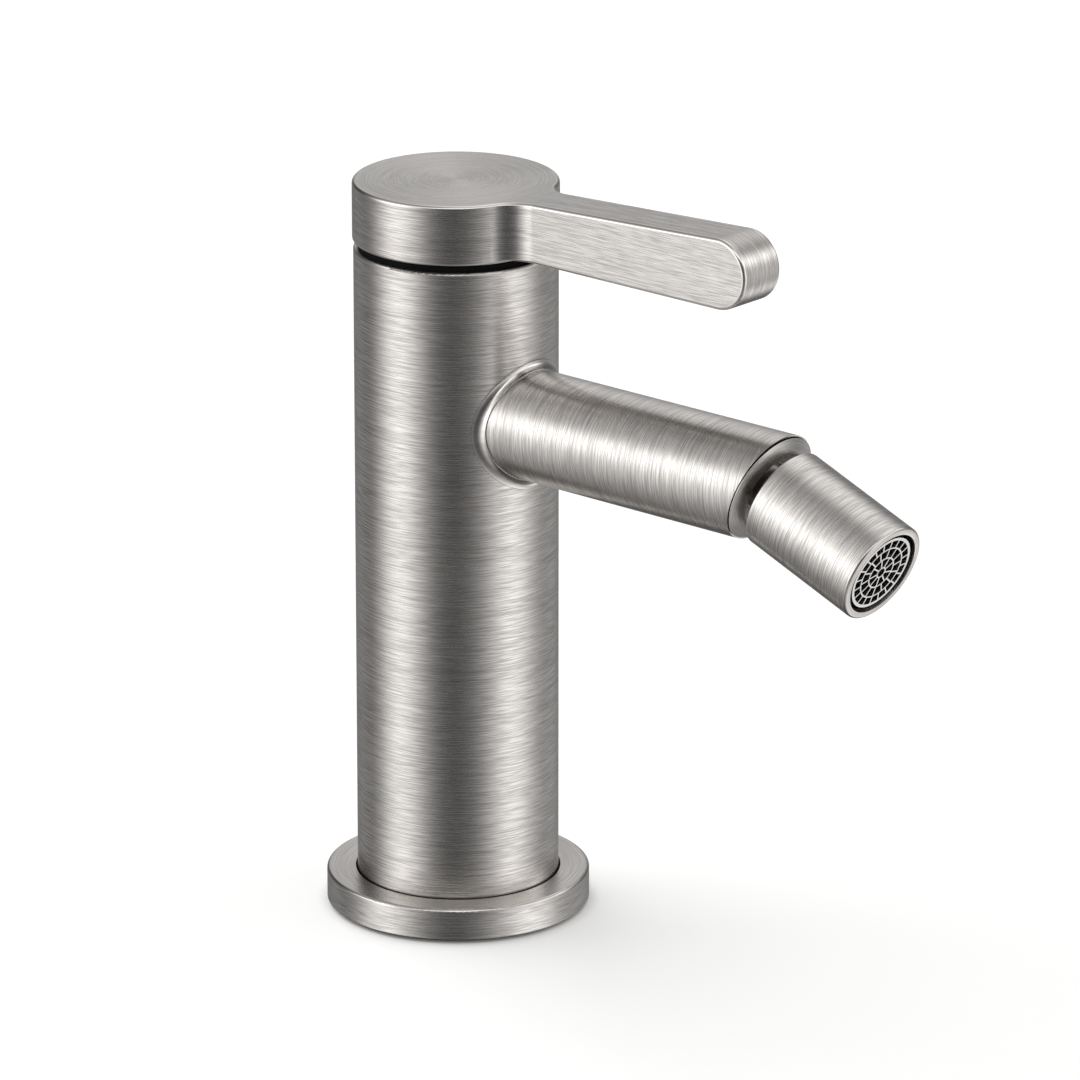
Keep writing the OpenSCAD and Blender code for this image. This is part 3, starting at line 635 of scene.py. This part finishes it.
def cove_section(turn):
    """A closed row of points round the cove's section, each with its normal."""
    small, big = SPOUT_R + SEAT_GAP, BODY_R + SEAT_GAP
    foot_r, lip_r, lip_big = small + COVE_W, small + COVE_LIP, big + COVE_LIP
    inner = around_spout(saddle_x(big, small, turn), small, turn)
    tip = around_spout(inner.x + COVE_H, small, turn)
    tip_lip = around_spout(tip.x, lip_r, turn)
    bend = around_spout(saddle_x(lip_big, lip_r, turn), lip_r, turn)
    foot_lip = around_spout(saddle_x(lip_big, foot_r, turn), foot_r, turn)
    foot = around_spout(saddle_x(big, foot_r, turn), foot_r, turn)
    middle_r = small + COVE_W / 2
    middle = around_spout(saddle_x(big, middle_r, turn), middle_r, turn)
    outward = Vector((0, math.cos(turn), math.sin(turn)))
    section = [(inner, outward), (tip, Vector((1, 0, 0)))]
    for step in range(COVE_STEPS + 1):
        part = step / COVE_STEPS
        point = ((1 - part) ** 2 * tip_lip + 2 * part * (1 - part) * bend
                 + part ** 2 * foot_lip)
        share = part ** COVE_SWEEP
        section.append((point, (1 - share) * outward + share * off_body(point)))
    return section + [(foot, off_body(foot)), (middle, outward)]


print("cove", COVE_W, "m wide,", COVE_H, "m high")

# %% Spout cove, loft
COVE_SECTIONS = 192
COVE_ROUGHNESS = 0.2


def loft_ring(sections):
    """A closed ring of quads through closed sections."""
    shape = bmesh.new()
    rows = [[shape.verts.new(point) for point, _ in section] for section in sections]
    for i, row in enumerate(rows):
        following = rows[(i + 1) % len(rows)]
        for j in range(len(row)):
            k = (j + 1) % len(row)
            shape.faces.new((row[j], row[k], following[k], following[j]))
    bmesh.ops.recalc_face_normals(shape, faces=shape.faces[:])
    return shape


turns = [2 * math.pi * i / COVE_SECTIONS for i in range(COVE_SECTIONS)]
sections = [cove_section(turn) for turn in turns]
collar = keep_piece(loft_ring(sections), "spout_cove", "spout_collar", "mixer_body",
                    smooth_steel("cove_steel", COVE_ROUGHNESS))
collar.data.normals_split_custom_set_from_vertices(
    [normal.normalized() for section in sections for _, normal in section])
print("cove faces:", len(collar.data.polygons))

# %% [markdown]
# The pieces that hardly show still get their real finish: turned brass inside, copper inlet
# tubes, black rubber seals, moulded plastics, white ceramic discs and the fine steel grille.
# The ball gets a darker steel than the rest, which paints shade into the gap where it shows.
# Plain colours would look like plastic toys, so each has a light and a dark tint and a gloss
# that the shared grain and smudges vary.

# %% Other finishes
GRAIN_DEPTH = 0.02 * MM
FINE_GRAIN = 0.2 * MM


def plain_finish(name, light, dark, roughness, spread, metallic=0.0, size=GRAIN_SIZE,
                 shine=0.5):
    """A material whose tint and roughness follow the moulded grain and the smudges."""
    material = bpy.data.materials.new(name)
    material.use_nodes = True
    tree = material.node_tree
    shader = tree.nodes["Principled BSDF"]
    shader.inputs["Metallic"].default_value = metallic
    shader.inputs["Specular IOR Level"].default_value = shine
    place = add_node(tree, "ShaderNodeTexCoord").outputs["Object"]
    specks = place_group(tree, grain, Place=place, Size=size).outputs["Mask"]
    marks = place_group(tree, smudges, Place=place).outputs["Mask"]
    both = math_node(tree, "MULTIPLY_ADD", marks, 0.5,
                     math_node(tree, "MULTIPLY", specks, 0.5))
    join(tree, mix_node(tree, "RGBA", both, (*dark, 1), (*light, 1)),
         shader.inputs["Base Color"])
    join(tree, math_node(tree, "MULTIPLY_ADD", both, spread, roughness - spread / 2),
         shader.inputs["Roughness"])
    bump = add_node(tree, "ShaderNodeBump", Strength=0.3, Distance=GRAIN_DEPTH)
    join(tree, specks, bump.inputs["Height"])
    join(tree, bump.outputs[0], shader.inputs["Normal"])
    return material


FINISHES = {
    "brass": plain_finish("turned_brass", (0.72, 0.53, 0.24), (0.56, 0.39, 0.16),
                          0.34, 0.14, metallic=1.0),
    "copper": plain_finish("drawn_copper", (0.80, 0.45, 0.30), (0.60, 0.30, 0.19),
                           0.32, 0.16, metallic=1.0),
    "rubber": plain_finish("black_rubber", (0.035, 0.035, 0.036), (0.018, 0.018, 0.019),
                           0.72, 0.2),
    "black_plastic": plain_finish("black_plastic", (0.010, 0.010, 0.0105),
                                  (0.005, 0.005, 0.005), 0.62, 0.16, shine=0.05),
    "white_plastic": plain_finish("white_plastic", (0.80, 0.80, 0.78), (0.68, 0.68, 0.66),
                                  0.45, 0.14),
    "acetal": plain_finish("acetal", (0.76, 0.75, 0.70), (0.64, 0.63, 0.58), 0.38, 0.12),
    "ceramic": plain_finish("ceramic", (0.86, 0.85, 0.81), (0.78, 0.77, 0.73), 0.18, 0.08),
    "plain_steel": plain_finish("machined_steel", (0.66, 0.65, 0.63), (0.48, 0.47, 0.46),
                                0.3, 0.14, metallic=1.0),
    "grille_steel": plain_finish("grille_steel", (0.80, 0.79, 0.77), (0.62, 0.61, 0.60),
                                 0.26, 0.12, metallic=1.0, size=FINE_GRAIN),
}
# A darker steel on the ball, standing in for the shade in the nozzle's gap.
ball_gap_shade_finish = plain_finish("ball_gap_shade", (0.36, 0.35, 0.34), (0.28, 0.27, 0.26),
                      0.34, 0.1, metallic=1.0)
for name, node in sorted(nodes.items()):
    packed = node.data.materials[0].name if node.data.materials else ""
    if packed in FINISHES:
        dress(FINISHES[packed], name)
dress(ball_gap_shade_finish, "swivel_ball")
print("finishes:", sorted(FINISHES))

# %% [markdown]
# The studio. Steel shows its surroundings, so what the body mirrors matters more than how
# strongly it is lit: a large soft box on each side of the camera makes the two bright columns,
# and the dim room behind the camera makes the dark band between them. Lamps with hard borders
# would show as hard stripes, so the boxes are soft glows painted on the world, each with a
# direction, a width and a height.

# %% Soft glows
world = bpy.data.worlds.new("studio")
scene.world = world
world.use_nodes = True
sky = world.node_tree
sky.nodes.clear()
looking = add_node(sky, "ShaderNodeTexCoord").outputs["Generated"]


def studio_angle(turn):
    """The angle in the frame of a direction that is turn degrees round from the camera."""
    return VIEW_TURN - RIGHT_ANGLE + math.radians(turn)


def glow(turn, rise, width, height, strength):
    """A soft patch of light; all but its strength are in degrees."""
    angle, lift = studio_angle(turn), math.radians(rise)
    ahead = Vector((math.cos(angle) * math.cos(lift), math.sin(angle) * math.cos(lift),
                    math.sin(lift)))
    side = Vector((-math.sin(angle), math.cos(angle), 0))
    above = ahead.cross(side)
    forward, *offsets = [vector_node(sky, "DOT_PRODUCT", looking, way)
                         for way in (ahead, side, above)]
    squares = []
    for offset, spread in zip(offsets, (width, height)):
        part = math_node(sky, "DIVIDE", offset, math.sin(math.radians(spread)))
        squares.append(math_node(sky, "MULTIPLY", part, part))
    fall = math_node(sky, "MULTIPLY", math_node(sky, "ADD", *squares), -1.0)
    bright = math_node(sky, "MULTIPLY", math_node(sky, "EXPONENT", fall), strength)
    return math_node(sky, "MULTIPLY", bright, ramp(sky, forward, 0.0, 0.5))


def add_glows(total, table):
    for patch in table.values():
        total = math_node(sky, "ADD", total, glow(*patch))
    return total


print("camera side of the studio at", round(math.degrees(studio_angle(0)), 2), "degrees")

# %% Light boxes
ROOM = 0.01
BOXES = {
    "left box": (-65, -2, 28, 47, 1.8),
    "left core": (-79, 12, 20, 16, 1.65),
    "left, high": (-105, 46, 22, 15, 0.3),
    "right box": (66, -8, 30, 60, 1.76),
    "right core": (101, 23, 17, 13, 2.2),
    "top box": (120, 78, 30, 21, 0.85),
    "back, high": (152, 50, 24, 23, 1.0),
    "left, low": (-125, -48, 30, 22, 0.08),
    "right, low": (124, -42, 14, 12, 1.2),
}
lit = add_glows(ROOM, BOXES)
print("light boxes:", len(BOXES), "world nodes:", len(sky.nodes))

# %% [markdown]
# The backdrop is white to the camera through Light Path, so it adds no light. A real wall
# would need more lamps of its own. Reflections see it as a pale wall behind the object that
# fades out at the sides, which makes the tops light grey, and two faint strips in front of the
# object that only draw the bright lines along the rounded rims.

# %% Backdrop
BRIGHTNESS = 0.8
WHITE = (1, 1, 1, 1)
WALL = (180, 26, 17, 40, 0.72)
MIRRORED = {
    "wall, left": (-140, -20, 26, 22, 0.32),
    "wall, right": (140, -20, 26, 22, 0.42),
    "low strip": (0, 44, 40, 8, 2.4),
    "high strip": (4, 62, 20, 11, 0.9),
}
seen = add_node(sky, "ShaderNodeLightPath")
mirrored = math_node(sky, "MAXIMUM", seen.outputs["Is Glossy Ray"],
                     seen.outputs["Is Transmission Ray"])
backdrop = math_node(sky, "MULTIPLY", add_glows(glow(*WALL), MIRRORED), mirrored)
light = math_node(sky, "MULTIPLY", math_node(sky, "ADD", lit, backdrop), BRIGHTNESS)
strength = mix_node(sky, "FLOAT", seen.outputs["Is Camera Ray"], light, 1.0)
surround = add_node(sky, "ShaderNodeBackground", Color=WHITE)
join(sky, strength, surround.inputs["Strength"])
result = add_node(sky, "ShaderNodeOutputWorld")
join(sky, surround.outputs[0], result.inputs["Surface"])
print("backdrop ready, world nodes:", len(sky.nodes))

# %% [markdown]
# The floor is a plain pale plane, matt so that it takes soft shadows. Enough lamps to make it
# white would also wash out the steel, so a faint glow of its own, seen by the camera alone,
# lifts it to white. Ambient Occlusion takes that glow away close to the flange, which paints a
# soft contact shadow there, so that the mixer stands on the floor. Reflections leave the floor
# out, because they see the painted studio all round.

# %% Floor
FLOOR_SIZE = 6.0
FLOOR_DROP = 0.1 * MM
FLOOR_TINT = (0.8, 0.8, 0.79, 1)
FLOOR_FILL = 0.332
CONTACT = 2.5 * MM

floor_shape = bmesh.new()
bmesh.ops.create_grid(floor_shape, x_segments=1, y_segments=1, size=FLOOR_SIZE)
floor_mesh = bpy.data.meshes.new("floor")
floor_shape.to_mesh(floor_mesh)
floor_shape.free()
floor = bpy.data.objects.new("floor", floor_mesh)
floor.location.z = -FLOOR_DROP
floor.visible_glossy = False
scene.collection.objects.link(floor)
print("floor", FLOOR_SIZE, "m to each side")

# %% Floor finish
pale = bpy.data.materials.new("pale_floor")
pale.use_nodes = True
tree = pale.node_tree
shader = tree.nodes["Principled BSDF"]
shader.inputs["Roughness"].default_value = 0.9
shader.inputs["Specular IOR Level"].default_value = 0.0
shader.inputs["Base Color"].default_value = FLOOR_TINT
shader.inputs["Emission Color"].default_value = WHITE
path = add_node(tree, "ShaderNodeLightPath")
# Ambient Occlusion fades the glow near the flange: a painted contact shadow.
floor_contact_shade = add_node(tree, "ShaderNodeAmbientOcclusion", samples=8, Distance=CONTACT)
fill = math_node(tree, "MULTIPLY", floor_contact_shade.outputs["AO"], FLOOR_FILL)
join(tree, math_node(tree, "MULTIPLY", fill, path.outputs["Is Camera Ray"]),
     shader.inputs["Emission Strength"])
floor_mesh.materials.append(pale)
print("floor glow", FLOOR_FILL)

# %% [markdown]
# The photograph has one soft shadow, to the right of the mixer and towards the camera. An area
# lamp would have to be large and close, and would show in the steel. A sun with a very wide
# angle gives the same soft shadow everywhere, and it is hidden from reflections.

# %% Soft sun
SUN_ENERGY = 1.9
SUN_WIDTH = math.radians(62)
SUN_TURN = -129
SUN_RISE = 0.9

sun = bpy.data.lights.new("soft_sun", "SUN")
sun.energy = SUN_ENERGY
sun.angle = SUN_WIDTH
sun_object = bpy.data.objects.new("soft_sun", sun)
sun_angle = studio_angle(SUN_TURN)
sun_from = Vector((math.cos(sun_angle), math.sin(sun_angle), SUN_RISE))
sun_object.rotation_mode = "QUATERNION"
sun_object.rotation_quaternion = sun_from.to_track_quat("Z", "Y")
sun_object.visible_glossy = False
scene.collection.objects.link(sun_object)
print("sun from", [round(v, 2) for v in sun_from.normalized()])

# %% [markdown]
# Colours come out as they are written with the Standard view.

# %% Colour view
scene.view_settings.view_transform = "Standard"
